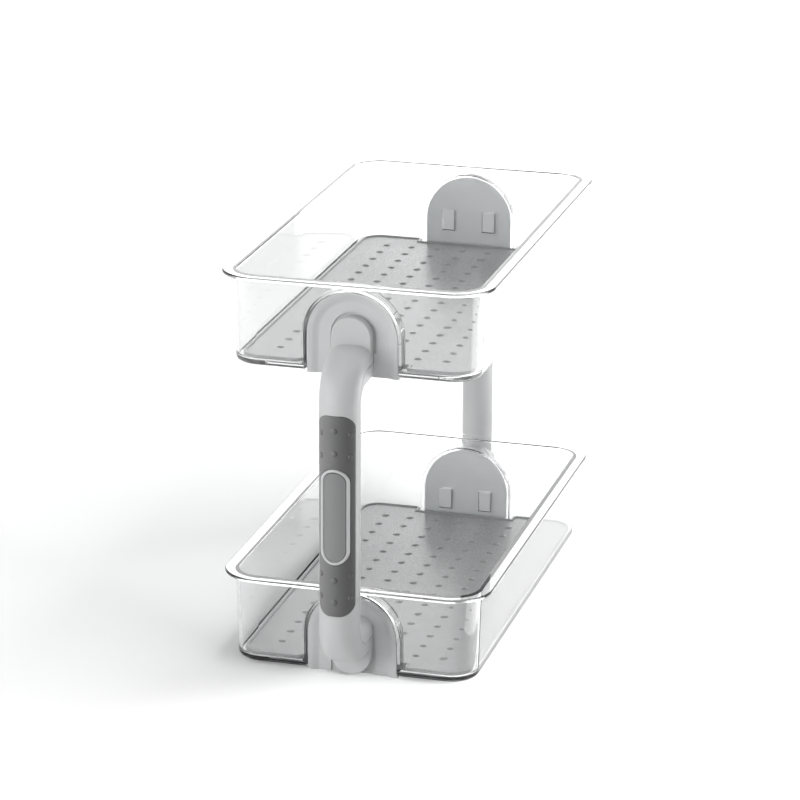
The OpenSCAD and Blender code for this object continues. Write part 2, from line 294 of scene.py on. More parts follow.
clear_plastic, clear_tree, clear_shader = new_material("clear_styrene")
clear_shader.inputs["Base Color"].default_value = CLEAR_TINT
clear_shader.inputs["Transmission Weight"].default_value = 1
clear_shader.inputs["IOR"].default_value = STYRENE_IOR
swirls = grain(clear_tree, SWIRL_SIZE, detail=1.0)
clear_tree.links.new(between(clear_tree, swirls, *CLEAR_GLOSS), clear_shader.inputs["Roughness"])
raised(clear_tree, swirls, clear_shader, SWIRL_BUMP)
rays = node(clear_tree, "ShaderNodeLightPath")
lamp_window = node(clear_tree, "ShaderNodeBsdfTransparent", Color=LAMP_TINT)
which = node(clear_tree, "ShaderNodeMixShader")
clear_tree.links.new(rays.outputs["Is Shadow Ray"], which.inputs[0])
clear_tree.links.new(clear_shader.outputs[0], which.inputs[1])
clear_tree.links.new(lamp_window.outputs[0], which.inputs[2])
clear_tree.links.new(which.outputs[0], clear_tree.nodes["Material Output"].inputs["Surface"])
print("clear plastic bends light by", STYRENE_IOR, "and lets lamps through by", LAMP_TINT[0])

# %% [markdown]
# ## Greys for handles, grip and mats
# The handles are satin light grey plastic with a spark-eroded grain. The grip is a softer,
# darker inlay with little gloss, and the mats are a mid grey rubber sheet whose smooth skin
# mirrors the backdrop at a low angle. They differ in tone, grain and gloss, so one recipe
# with other numbers serves them all.

# %% A recipe for the greys
CLOUD_SIZE = 30


def plastic(name, light, dark, grain_mm, rough, bump, specular=0.5):
    """Moulded plastic or rubber: two near tones, a fine grain and uneven gloss."""
    material, tree, shader = new_material(name)
    shader.inputs["Specular IOR Level"].default_value = specular
    cloudy = grain(tree, CLOUD_SIZE, detail=2.0)
    tones = node(tree, "ShaderNodeMix", data_type="RGBA")
    tones.inputs["A"].default_value = (*dark, 1)
    tones.inputs["B"].default_value = (*light, 1)
    tree.links.new(between(tree, cloudy, 0, 1), tones.inputs["Factor"])
    tree.links.new(tones.outputs["Result"], shader.inputs["Base Color"])
    fine = grain(tree, grain_mm)
    tree.links.new(between(tree, fine, *rough), shader.inputs["Roughness"])
    raised(tree, fine, shader, bump)
    print(name, "from", dark[0], "to", light[0])
    return material


handle_plastic = plastic("satin_handle_plastic", light=(0.61, 0.615, 0.62), dark=(0.585, 0.59, 0.595),
                         grain_mm=0.35, rough=(0.42, 0.5), bump=0.12)
grip_rubber = plastic("soft_grip_rubber", light=(0.122, 0.1225, 0.123), dark=(0.114, 0.1145, 0.115),
                      grain_mm=0.3, rough=(0.4, 0.46), bump=0.1, specular=0.2)
ring_plastic = plastic("badge_ring_plastic", light=(0.6, 0.605, 0.61), dark=(0.58, 0.585, 0.59),
                       grain_mm=0.35, rough=(0.32, 0.4), bump=0.1)
field_plastic = plastic("badge_field_plastic", light=(0.25, 0.252, 0.255), dark=(0.235, 0.237, 0.24),
                        grain_mm=0.25, rough=(0.42, 0.5), bump=0.2)
mat_rubber = plastic("mat_rubber", light=(0.27, 0.272, 0.275), dark=(0.245, 0.247, 0.25),
                     grain_mm=0.5, rough=(0.24, 0.3), bump=0.12, specular=0.55)

# %% [markdown]
# ## The bin, ring by ring
# A bin is an open tray with slightly leaning walls, a small round foot and a flat lip whose
# edge is fully round. All of that is one profile carried round the rim, so the outside is a
# skin over rounded rectangles: low ones for the foot, larger ones for the wall and the lip.
# The hollow is a second such solid, cut out later, and its top flares to soften the inner
# edge. Under the floor a low rim carries the bin, level with the feet of the handles' plates.

# %% Rings round the rim
CORNER_STEPS = 18
EDGE_STEPS = 10
FILLET_STEPS = 6
LIP_EDGE = LIP_THICKNESS / 2
LIP_UNDERSIDE = BIN_HEIGHT - LIP_THICKNESS
LIP_ROOT = 0.6
LIP_ROOT_STEPS = 3
INNER_EDGE = 0.2
INNER_STEPS = 4
OVERRUN = 1


def wall_u(z):
    """Distance of the wall's outer face from the centre of the rim's corners."""
    return RIM_CORNER - LIP_OVERHANG - DRAFT * (LIP_UNDERSIDE - z) / LIP_UNDERSIDE


FOOT_U = wall_u(FOOT_RIM_HEIGHT + FOOT_RADIUS) - FOOT_RADIUS
FLOOR_TOP = FOOT_RIM_HEIGHT + FLOOR
CAVITY_FOOT = FLOOR_TOP + FLOOR_FILLET
CAVITY_U = wall_u(CAVITY_FOOT) - WALL - FLOOR_FILLET


def rounded_ring(centre_x, centre_y, radius, z):
    ring = []
    for sx, sy, start in ((1, 1, 0), (-1, 1, 90), (-1, -1, 180), (1, -1, 270)):
        for x, y in arc((sx * centre_x, sy * centre_y), radius, start, start + 90, CORNER_STEPS):
            ring.append((x, y, z))
    return ring


def rim_ring(u, z):
    return rounded_ring(CORNER_X, CORNER_Y, u, z)


def bin_outside():
    profile = arc((FOOT_U, FOOT_RIM_HEIGHT + FOOT_RADIUS), FOOT_RADIUS, -90, 0, EDGE_STEPS)
    root = (wall_u(LIP_UNDERSIDE) + LIP_ROOT, LIP_UNDERSIDE - LIP_ROOT)
    profile += arc(root, LIP_ROOT, 180, 90, LIP_ROOT_STEPS)
    profile += arc((RIM_CORNER - LIP_EDGE, BIN_HEIGHT - LIP_EDGE), LIP_EDGE, -90, 90, EDGE_STEPS)
    return profile


def bin_hollow():
    inner_top = wall_u(BIN_HEIGHT) - WALL
    profile = arc((CAVITY_U, CAVITY_FOOT), FLOOR_FILLET, -90, 0, FILLET_STEPS)
    centre = (inner_top + INNER_EDGE, BIN_HEIGHT - INNER_EDGE)
    profile += arc(centre, INNER_EDGE, 180, 90, INNER_STEPS)
    profile.append((inner_top + INNER_EDGE, BIN_HEIGHT + OVERRUN))
    return profile


print("outside of a bin:", len(bin_outside()), "rings; hollow:", len(bin_hollow()), "rings")

# %% [markdown]
# ## Alcoves and windows
# Each short wall steps inwards to form an arched alcove that takes a plate of the handle, and
# the alcove's back has two small windows for the plate's snap tabs. An arch is a half round on
# two straight legs. Stacking arches of changing size along Y gives a solid with soft
# edges: one adds the alcove's wall inside the bin, and a smaller one cuts the pocket.
# Windows are cut with plain blocks, and the Bevel modifier softens the blocks of the tabs.

# %% Arched solids
ARCH_STEPS = 48
WALL_FACE = CORNER_Y + wall_u(ALCOVE_RISE)
ALCOVE_BACK = WALL_FACE - ALCOVE_DEPTH
ALCOVE_INSIDE = ALCOVE_BACK - WALL


def arch_line(radius, rise, foot):
    """An arch from one foot over to the other. It hangs down if its feet are above."""
    turn = 180 if foot <= rise else -180
    return [(radius, foot)] + arc((0, rise), radius, 0, turn, ARCH_STEPS) + [(-radius, foot)]


def arched_solid(name, end, stations, rise, foot):
    """Closed solid over arches. A station is (distance along Y, radius of the arch)."""
    count = ARCH_STEPS + 3
    points = []
    for distance, radius in stations:
        for x, z in arch_line(radius, rise, foot):
            away = distance(z) if callable(distance) else distance
            points.append((x, end * away, z))
    faces = []
    for s in range(len(stations) - 1):
        for k in range(count - 1):
            low = s * count + k
            faces.append((low, low + 1, low + count + 1, low + count))
    starts = [s * count for s in range(len(stations))]
    faces.append(tuple(range(count)))
    faces.append(tuple(range(starts[-1], starts[-1] + count)))
    faces.append(tuple(starts) + tuple(start + count - 1 for start in reversed(starts)))
    return new_piece(name, points, faces)


def wall_at(offset):
    """The leaning outer wall of a short end, moved outwards by an offset."""
    return lambda z: CORNER_Y + wall_u(max(z, 0)) + offset


print("the alcove's back stands", round(ALCOVE_BACK, 1), "mm from the middle of the bin")

# %% Blocks and windows
WINDOW_START = 8.5
WINDOW_WIDTH = 7.6
WINDOW_HEIGHT = 12.5
BLOCK_STEPS = 3


def rounded_box(name, low, high, edge):
    """A block with its edges cut back by a small bevel."""
    corners = [(x, y, z) for z in (low[2], high[2])
               for x, y in ((low[0], low[1]), (high[0], low[1]), (high[0], high[1]), (low[0], high[1]))]
    faces = [(0, 1, 2, 3), (4, 5, 6, 7), (0, 1, 5, 4), (1, 2, 6, 5), (2, 3, 7, 6), (3, 0, 4, 7)]
    block = new_piece(name, corners, faces)
    if edge:
        soften = block.modifiers.new("edges", "BEVEL")
        soften.width = edge * MM
        soften.segments = BLOCK_STEPS
        take_modifiers(block)
    return block


def window_span(side, rise, gap):
    """Lowest and highest corner of a window in X and Z, shrunk all round by a gap."""
    near, far = WINDOW_START + gap, WINDOW_START + WINDOW_WIDTH - gap
    xs = sorted((side * near, side * far))
    return xs, (rise + gap, rise + WINDOW_HEIGHT - gap)


print("a window spans", window_span(1, 0, 0)[0], "mm on the right")

# %% [markdown]
# ## Moulding a bin
# The order of the cuts copies the mould: the core that shapes the hollow has the alcove walls
# already cut out of it, then the core leaves the outer block, and the pockets and windows
# come last. Cutting the core first means that no two faces ever lie in the same plane,
# which is what upsets Boolean cuts.

# %% Build both bins
FOOT_RIM_EDGE = 0.4
ALCOVE_EDGE = 0.8
POCKET_EDGE = 0.5
WINDOW_RISE_UPPER = 14.8
WINDOW_RISE_LOWER = 9.8


def foot_rim():
    reach_y = ALCOVE_INSIDE - FOOT_RIM_SETBACK - CAVITY_U
    reach_x = reach_y - CORNER_Y + CORNER_X
    high = FOOT_RIM_HEIGHT + FLOOR / 2
    profile = [(FOOT_RIM_EDGE, 0), (0, FOOT_RIM_EDGE), (0, high), (FOOT_RIM_WIDTH, high),
               (FOOT_RIM_WIDTH, FOOT_RIM_EDGE), (FOOT_RIM_WIDTH - FOOT_RIM_EDGE, 0)]
    rings = [rounded_ring(reach_x, reach_y, CAVITY_U - inset, z) for inset, z in profile]
    return new_piece("foot_rim", *hoop(rings))


def make_bin(name, base, window_rise, cad_node):
    body = new_piece(name, *skin([rim_ring(u, z) for u, z in bin_outside()]))
    core = new_piece("core", *skin([rim_ring(u, z) for u, z in bin_hollow()]))
    outer = ALCOVE_RADIUS + WALL
    for end in (FRONT, REAR):
        edge = [(ALCOVE_INSIDE + inset, outer - drop) for inset, drop in eased(ALCOVE_EDGE)]
        wall = arched_solid("alcove_wall", end, edge + [(RIM_DEPTH / 2, outer)], ALCOVE_RISE, -OVERRUN)
        combine(core, wall, "DIFFERENCE")
    combine(body, core, "DIFFERENCE")
    combine(body, foot_rim(), "UNION")
    for end in (FRONT, REAR):
        mouth = [(wall_at(inset - POCKET_EDGE), ALCOVE_RADIUS + drop)
                 for inset, drop in eased(POCKET_EDGE, 3)]
        stations = [(ALCOVE_BACK, ALCOVE_RADIUS)] + mouth
        stations.append((wall_at(OVERRUN), ALCOVE_RADIUS + POCKET_EDGE))
        pocket = arched_solid("pocket", end, stations, ALCOVE_RISE, -OVERRUN)
        combine(body, pocket, "DIFFERENCE")
        for side in (-1, 1):
            (x0, x1), (z0, z1) = window_span(side, window_rise, 0)
            ys = sorted((end * (ALCOVE_INSIDE - OVERRUN), end * (ALCOVE_BACK + OVERRUN)))
            combine(body, rounded_box("window", (x0, ys[0], z0), (x1, ys[1], z1), 0), "DIFFERENCE")
    body.data.transform(Matrix.Translation((0, 0, base * MM)))
    finish(body, clear_plastic, "frame", [cad_node], sharp=30)


make_bin("lower_clear_bin", 0, WINDOW_RISE_LOWER, "lower_bin")
make_bin("upper_clear_bin", TIER_PITCH, WINDOW_RISE_UPPER, "upper_bin")

# %% [markdown]
# ## The domed mats
# A mat is a rubber sheet cut to the bin's floor, notched round the alcoves, with a grid of low
# domes that keep wet jars off the sheet. The sheet could be a thick plate with a bump map, but
# the domes throw small shadows that show from a step away, so each one is a real cap with
# a soft foot. A low border runs round the sheet, and it is a few more rings of the same skin.

# %% Outline of a mat
MAT_THICKNESS = 1.8
NOTCH_CORNER = 3
SLOT_GAP = 1.6
MAT_Y = CORNER_Y + CAVITY_U
NOTCH_HALF = ALCOVE_RADIUS + WALL + SLOT_GAP
NOTCH_EDGE = ALCOVE_INSIDE - 2 * FIT_GAP


def mat_ring(inset, z):
    """The notched outline, drawn inwards by an inset, at height z."""
    corner = CAVITY_U - inset
    turn = NOTCH_CORNER - inset
    hollow = NOTCH_HALF + inset
    quarter = arc((CORNER_X, CORNER_Y), corner, 0, 90, EDGE_STEPS)
    quarter += arc((NOTCH_HALF + NOTCH_CORNER, MAT_Y - NOTCH_CORNER), turn, 90, 180, FILLET_STEPS)
    quarter.append((hollow, NOTCH_EDGE - inset))
    mirrored = [(-x, y) for x, y in reversed(quarter)]
    half = quarter + mirrored
    return [(x, y, z) for x, y in half] + [(-x, -y, z) for x, y in half]


print("points in a mat's outline:", len(mat_ring(0, 0)))

# %% The domes
DOME_RADIUS = 2.2
DOME_HEIGHT = 0.75
DOME_FOOT = 0.3
DOME_ROOT = 0.25
DOME_SKIRT = 0.02
DOME_SIDES = 24
DOME_SHARES = (0.97, 0.86, 0.7, 0.52, 0.34, 0.17)
FLARE_SHARE = 0.6
BULGE_POWER = 2.2
CROWN_POWER = 1.05


def dome(centre, z):
    """A low cap with a soft foot, closed underneath."""
    profile = [(DOME_RADIUS + DOME_FOOT, -DOME_ROOT), (DOME_RADIUS + DOME_FOOT, -DOME_SKIRT)]
    for share in DOME_SHARES:
        reach = DOME_RADIUS * share + DOME_FOOT * max(0, share - FLARE_SHARE)
        profile.append((reach, DOME_HEIGHT * (1 - share ** BULGE_POWER) ** CROWN_POWER))
    rings = []
    for radius, rise in profile:
        rings.append([(centre[0] + radius * cos(2 * pi * k / DOME_SIDES),
                       centre[1] + radius * sin(2 * pi * k / DOME_SIDES), z + rise)
                      for k in range(DOME_SIDES)])
    points, faces = skin(rings)
    top = len(points)
    points.append((centre[0], centre[1], z + DOME_HEIGHT))
    faces.pop()
    last = top - DOME_SIDES
    faces += [(last + k, last + (k + 1) % DOME_SIDES, top) for k in range(DOME_SIDES)]
    return points, faces


print("a dome is", 2 * DOME_RADIUS, "mm wide and", DOME_HEIGHT, "mm high")

# %% Build both mats
MAT_EDGE = 0.5
BORDER_WIDTH = 1.6
BORDER_HEIGHT = 0.7
BORDER_CREST = ((-0.4, 0), (-0.1, -0.12), (0, -0.4))
BORDER_FOOT = ((0.06, 0.08), (0.2, 0))
COLUMN_PITCH = 15.5
ROW_PITCH = 15.1
DOME_COLUMNS = 7
DOME_ROWS = 15


def make_mat(name, base, body, cad_node):
    low, high = base + FLOOR_TOP, base + FLOOR_TOP + MAT_THICKNESS
    top = high + BORDER_HEIGHT
    edge = [(inset, top - drop) for inset, drop in eased(MAT_EDGE)]
    edge += [(BORDER_WIDTH + across, top + rise) for across, rise in BORDER_CREST]
    edge += [(BORDER_WIDTH + across, high + rise) for across, rise in BORDER_FOOT]
    points, faces = skin([mat_ring(0, low)] + [mat_ring(inset, z) for inset, z in edge])
    for column in range(DOME_COLUMNS):
        for row in range(DOME_ROWS):
            centre = ((column - (DOME_COLUMNS - 1) / 2) * COLUMN_PITCH,
                      (row - (DOME_ROWS - 1) / 2) * ROW_PITCH)
            cap_points, cap_faces = dome(centre, high)
            start = len(points)
            points += cap_points
            faces += [tuple(start + k for k in face) for face in cap_faces]
    mat = new_piece(name, points, faces)
    finish(mat, mat_rubber, body, [cad_node], sharp=50)


make_mat("lower_domed_mat", 0, "lower_mat", "lower_mat")
make_mat("upper_domed_mat", TIER_PITCH, "upper_mat", "upper_mat")

# %% [markdown]
# ## The bent tube of a handle
# A handle is a hollow tube in the shape of a C, split along its middle: the inner half carries
# the plates, and the outer half is the cover. The post is round, and the tube squares up
# through the bends until the arms have soft flat sides. A curve with a bevel
# can't change its section like that, so the tube is a skin over half rings: each ring is a
# superellipse, which is a circle at power 2 and grows flatter sides as the power rises.

# %% Stations along the tube
ROUND_POWER = 2.0
ARM_POWER = 3.4
BEND_STEPS = 16
ARM_START = 1
UPPER_ARM_AXIS = TIER_PITCH + UPPER_ARM_TOP - POST_RADIUS
LOWER_ARM_AXIS = LOWER_ARM_FOOT + POST_RADIUS
UPPER_BEND = UPPER_ARM_AXIS - BEND_RADIUS
LOWER_BEND = LOWER_ARM_AXIS + BEND_RADIUS


def smooth(t):
    """Runs from 0 to 1 with a soft start and a soft end."""
    return t * t * (3 - 2 * t)


def tube_path(axis, root):
    """Stations (distance, height, angle of the outer side, power) from arm to arm."""
    start = axis - BEND_RADIUS
    arm = start - ARM_START
    path = [(root, LOWER_ARM_AXIS, -90, ARM_POWER), (arm, LOWER_ARM_AXIS, -90, ARM_POWER)]
    for centre, first in ((LOWER_BEND, -90), (UPPER_BEND, 0)):
        for k in range(BEND_STEPS + 1):
            angle = first + 90 * k / BEND_STEPS
            power = ROUND_POWER + (ARM_POWER - ROUND_POWER) * smooth(abs(angle) / 90)
            path.append((start + BEND_RADIUS * cos(radians(angle)),
                         centre + BEND_RADIUS * sin(radians(angle)), angle, power))
    path += [(arm, UPPER_ARM_AXIS, 90, ARM_POWER), (root, UPPER_ARM_AXIS, 90, ARM_POWER)]
    return path


print("arms at", round(LOWER_ARM_AXIS, 1), "and", round(UPPER_ARM_AXIS, 1), "mm; post between bends",
      round(UPPER_BEND - LOWER_BEND, 1), "mm")

# %% Half of the tube
SHELL = 2.2
SEAM = 0.3
SEAM_EDGE = 0.25
HALF_STEPS = 28


def half_section(radius, power, seam):
    """Half ring of the tube: out over the skin with eased edges, back along the inside."""
    def bow(size, lift, steps):
        line = []
        for k in range(steps + 1):
            a = pi * k / steps
            across = size * (1 if cos(a) >= 0 else -1) * abs(cos(a)) ** (2 / power)
            line.append((across, lift + (size - lift) * sin(a) ** (2 / power)))
        return line
    outer = bow(radius, seam + SEAM_EDGE, HALF_STEPS)
    inner = bow(radius - SHELL, seam, HALF_STEPS // 2)
    over = [(radius - SEAM_EDGE, seam)] + outer + [(SEAM_EDGE - radius, seam)]
    return over + inner[::-1]


def half_tube(name, end, radius, axis, root, outward, seam):
    rings = []
    for distance, height, angle, power in tube_path(axis, root):
        ring = []
        for across, out in half_section(radius, power, seam):
            away = distance + outward * out * cos(radians(angle))
            ring.append((across, end * away, height + outward * out * sin(radians(angle))))
        rings.append(ring)
    return new_piece(name, *skin(rings))


print("points in a half section:", len(half_section(POST_RADIUS, ROUND_POWER, 0)))

# %% [markdown]
# ## The dished plates
# A plate fills an alcove. It has a narrow flush border, then a soft slope down to a
# lower field, and an arched slot that takes the cover's tongue. A stack of arches makes the
# border and the slope in one go, and the slot and its narrower throat are cut afterwards.

# %% Plates
PLATE_THICKNESS = 4.2
PLATE_BORDER = 2.2
PLATE_EDGE = 0.4
PLATE_EDGE_SHARE = 0.3
DISH_SLOPE = 4.5
DISH_DEPTH = 1.2
DISH_STEPS = 8
SLOT_FLOOR = 1.9
UPPER_TONGUE_RISE = 22.6
PLATE_BACK = ALCOVE_BACK + FIT_GAP
PLATE_FACE = PLATE_BACK + PLATE_THICKNESS
PLATE_RADIUS = ALCOVE_RADIUS - FIT_GAP


def lift(piece, base):
    piece.data.transform(Matrix.Translation((0, 0, base * MM)))
    return piece


def make_plate(end, radius, base, slot_foot, throat_foot):
    """A plate with its slot. Only an upper plate has a throat below the slot."""
    dish = PLATE_RADIUS - PLATE_BORDER
    corner = PLATE_EDGE * PLATE_EDGE_SHARE
    stations = [(PLATE_BACK, PLATE_RADIUS), (PLATE_FACE - PLATE_EDGE, PLATE_RADIUS),
                (PLATE_FACE - corner, PLATE_RADIUS - corner),
                (PLATE_FACE, PLATE_RADIUS - PLATE_EDGE), (PLATE_FACE, dish + PLATE_EDGE)]
    for k in range(DISH_STEPS + 1):
        share = k / DISH_STEPS
        stations.append((PLATE_FACE - DISH_DEPTH * smooth(share), dish - DISH_SLOPE * share))
    plate = arched_solid("plate", end, stations, ALCOVE_RISE, 0)
    bottom, front = PLATE_BACK + SLOT_FLOOR, PLATE_FACE + OVERRUN
    cut = [(bottom, radius + SLOT_GAP), (front, radius + SLOT_GAP)]
    combine(plate, arched_solid("slot", end, cut, UPPER_TONGUE_RISE, slot_foot), "DIFFERENCE")
    if throat_foot is not None:
        half = radius + FIT_GAP
        ys = sorted((end * bottom, end * front))
        low, high = (-half, ys[0], throat_foot), (half, ys[1], slot_foot + OVERRUN)
        combine(plate, rounded_box("throat", low, high, 0), "DIFFERENCE")
    return lift(plate, base)


print("a plate stands from", round(PLATE_BACK, 1), "to", round(PLATE_FACE, 1), "mm out")

# %% Tongues and snap tabs
LOWER_TONGUE_RISE = 12.2
TONGUE_EDGE = 0.7
TAB_EDGE = 0.5
TAB_GAP = 0.1
TONGUE_BACK = PLATE_BACK + SLOT_FLOOR + FIT_GAP


def make_tongue(end, radius, base, rise, foot):
    stations = [(TONGUE_BACK, radius)]
    stations += [(WALL_FACE - drop, radius - inset) for inset, drop in eased(TONGUE_EDGE)]
    return lift(arched_solid("tongue", end, stations, rise, foot), base)


def make_tabs(end, base, window_rise):
    tabs = []
    for side in (-1, 1):
        (x0, x1), (z0, z1) = window_span(side, window_rise, TAB_GAP)
        ys = sorted((end * (ALCOVE_INSIDE + FIT_GAP), end * (PLATE_BACK + OVERRUN)))
        tabs.append(lift(rounded_box("tab", (x0, ys[0], z0), (x1, ys[1], z1), TAB_EDGE), base))
    return tabs


print("a tab stands", TAB_GAP, "mm clear of its window")

# %% [markdown]
# ## Putting the handles together
# The bracket is the inner half of the tube with both plates and their four tabs, and the
# cover is the outer half with its two tongues. Each is one moulding on the real handle, so
# the solids are united and share one skin. A fine groove stays between the halves, which
# stand 0.3 mm apart and have eased edges.

# %% Brackets and covers
LEDGE_RISE = 13.5


def make_bracket(name, end, radius, axis, cad_node):
    half = half_tube(name, end, radius, axis, PLATE_BACK + OVERRUN, -1, 0)
    throat = UPPER_ARM_AXIS - TIER_PITCH
    combine(half, make_plate(end, radius, TIER_PITCH, LEDGE_RISE, throat), "UNION")
    combine(half, make_plate(end, radius, 0, -OVERRUN, None), "UNION")
    for base, window_rise in ((TIER_PITCH, WINDOW_RISE_UPPER), (0, WINDOW_RISE_LOWER)):
        for tab in make_tabs(end, base, window_rise):
            combine(half, tab, "UNION")
    finish(half, handle_plastic, "frame", [cad_node], sharp=38)


def make_cover(name, end, radius, axis):
    half = half_tube(name, end, radius, axis, TONGUE_BACK + OVERRUN, 1, SEAM)
    throat = UPPER_ARM_AXIS - TIER_PITCH + SEAM
    combine(half, make_tongue(end, radius, TIER_PITCH, UPPER_TONGUE_RISE, throat), "UNION")
    combine(half, make_tongue(end, radius, 0, LOWER_TONGUE_RISE, LOWER_ARM_AXIS - SEAM), "UNION")
    return half


make_bracket("front_handle_inner_half", FRONT, POST_RADIUS, FRONT_AXIS, "front_bracket")
make_bracket("rear_handle_inner_half", REAR, REAR_POST_RADIUS, REAR_AXIS, "rear_bracket")
front_cover = make_cover("front_handle_cover", FRONT, POST_RADIUS, FRONT_AXIS)
rear_cover = make_cover("rear_handle_cover", REAR, REAR_POST_RADIUS, REAR_AXIS)
finish(rear_cover, handle_plastic, "frame", ["rear_cover"], sharp=38)

# %% [markdown]
# ## The grip and its bed
# The grip is a soft inlay, wrapped round the front of the post and set into a shallow bed.
# Seen from the front its outline is a long rectangle with round corners. A grid of
# rows and columns fills that outline, and every point is pushed out onto a cylinder
# round the post's axis. Rows close to the ends are shorter, which draws the round corners.
# `weld` then joins the points that the grid and the edge have in common.

# %% Rows of the grip's outline
GRIP_LENGTH = 113.5
GRIP_LIFT = 2.3
GRIP_HALF_WIDTH = 10.2
GRIP_CORNER = 7
GRIP_THICKNESS = 1.5
GRIP_EDGE = 0.5
GRIP_MIDDLE = (UPPER_BEND + LOWER_BEND) / 2 + GRIP_LIFT
GRIP_ROWS = 40


def on_post(x, z, radius):
    """A point at this radius from the post's axis, above where x lies on the grip's skin."""
    turn = asin(x / GRIP_SKIN)
    return (radius * sin(turn), -FRONT_AXIS - radius * cos(turn), GRIP_MIDDLE + z)


def panel_rows(half_width, half_length, corner):
    """Rows (height, half width) of a rounded rectangle from bottom to top."""
    turn = arc((half_width - corner, half_length - corner), corner, 0, 90, EDGE_STEPS)
    quarter = [(z, w) for w, z in turn]
    upper = quarter[::-1]
    straight = [(half_length - corner) * (1 - 2 * k / GRIP_ROWS) for k in range(1, GRIP_ROWS)]
    return upper + [(z, half_width) for z in straight] + [(-z, w) for z, w in quarter]


print("the grip's middle is", round(GRIP_MIDDLE, 1), "mm high")

# %% A panel wrapped on the post
GRIP_COLUMNS = 28
WELD_REACH = 0.002


def wrapped_panel(name, inner, layers, length, half_width, corner):
    """A closed panel on the post. A layer is (inset of the outline, radius), the last on top."""
    def ring(inset, radius):
        rows = panel_rows(half_width - inset, length / 2 - inset, corner - inset)
        right = [on_post(w, z, radius) for z, w in rows]
        left = [on_post(-w, z, radius) for z, w in reversed(rows)]
        across = [rows[0][1] * (1 - 2 * k / GRIP_COLUMNS) for k in range(1, GRIP_COLUMNS)]
        top = [on_post(-x, rows[0][0], radius) for x in across]
        bottom = [on_post(x, rows[-1][0], radius) for x in across]
        return right + bottom + left + top
    rings = [ring(0, inner)] + [ring(inset, radius) for inset, radius in layers]
    points, faces = skin(rings)
    del faces[-2:]
    count = len(rings[0])
    for inset, radius, start in ((0, inner, 0), (*layers[-1], len(points) - count)):
        rows = panel_rows(half_width - inset, length / 2 - inset, corner - inset)
        index = {}
        for r, (z, w) in enumerate(rows):
            for c in range(GRIP_COLUMNS + 1):
                index[r, c] = len(points)
                points.append(on_post(w * (1 - 2 * c / GRIP_COLUMNS), z, radius))
        for r in range(len(rows) - 1):
            for c in range(GRIP_COLUMNS):
                faces.append((index[r, c], index[r, c + 1], index[r + 1, c + 1], index[r + 1, c]))
    panel = new_piece(name, points, faces)
    weld(panel)
    return panel


def weld(piece):
    """Joins points that lie on the same spot and turns all faces outwards."""
    work = bmesh.new()
    work.from_mesh(piece.data)
    bmesh.ops.remove_doubles(work, verts=work.verts, dist=WELD_REACH * MM)
    bmesh.ops.recalc_face_normals(work, faces=work.faces)
    work.to_mesh(piece.data)
    work.free()


# %% [markdown]
# ## Badge, bumps and bed
# An oval badge sits in the middle of the grip: a raised ring round a bare field with a fine
# bead along its edge. Its loops are stadium shapes, laid on the same cylinder, and each ring
# of the skin is a stadium a little smaller or higher than the one before. Twelve small
# bumps, six near each end, give the fingers hold. The bed in the cover and the hole for the
# badge are cut with the same outlines, grown a little, so a fine line shows round each inlay.

# %% Stadium loops and the badge
BADGE_LENGTH = 54.3
BADGE_HALF_WIDTH = 8
BADGE_RING = 1.7
RING_EDGE = ((0, 0.5), (0.15, 0.15), (0.5, 0))
FIELD_PROUD = 0.1
FIELD_BEAD = 0.2
BEAD_EDGE = ((0, 0.05), (0.12, FIELD_BEAD), (0.35, FIELD_BEAD), (0.5, 0.03))
BEAD_WIDTH = 0.7
FIELD_SHARES = (0, 0.15, 0.3, 0.45, 0.6, 0.75, 0.9, 0.99)
BADGE_STEPS = 24
BADGE_RUN = 12
GRIP_BACK = GRIP_SKIN - GRIP_THICKNESS


def stadium(half_width, radius):
    """Loop on the post: two half rounds and two straight sides round the badge's middle."""
    straight = BADGE_LENGTH / 2 - BADGE_HALF_WIDTH
    loop = []
    for end, start in ((1, 0), (-1, 180)):
        side = [(end * half_width, straight * (2 * k / BADGE_RUN - 1) * end) for k in range(BADGE_RUN)]
        loop += side + arc((0, end * straight), half_width, start, start + 180, BADGE_STEPS)
    return [on_post(x, z, radius) for x, z in loop]


def badge_ring():
    top = GRIP_SKIN + RING_PROUD
    outer = [(0, GRIP_BACK)] + [(inset, top - drop) for inset, drop in RING_EDGE]
    inner = [(BADGE_RING - inset, radius) for inset, radius in reversed(outer)]
    loops = [stadium(BADGE_HALF_WIDTH - inset, radius) for inset, radius in outer + inner]
    ring = new_piece("badge_raised_ring", *hoop(loops))
    finish(ring, ring_plastic, "frame", ["badge_ring"], sharp=50)


def badge_field():
    edge = BADGE_RING + FIT_GAP
    top = GRIP_SKIN + FIELD_PROUD
    profile = [(edge, GRIP_BACK)] + [(edge + inset, top + rise) for inset, rise in BEAD_EDGE]
    flat = edge + BEAD_WIDTH
    profile += [(flat + (BADGE_HALF_WIDTH - flat) * share, top) for share in FIELD_SHARES]
    points, faces = skin([stadium(BADGE_HALF_WIDTH - inset, radius) for inset, radius in profile])
    field = new_piece("badge_bare_field", points, faces)
    finish(field, field_plastic, "frame", ["badge_field"], sharp=50)


badge_ring()
badge_field()

# %% Bumps
BUMP_RADIUS = 1.6
BUMP_PROUD = 0.6
BUMP_SIDES = 20
BUMP_EDGE = ((1.0, -0.3), (1.0, -0.01), (0.97, 0.2), (0.88, 0.36), (0.73, 0.48), (0.5, 0.56),
             (0.25, 0.59), (0.05, BUMP_PROUD))


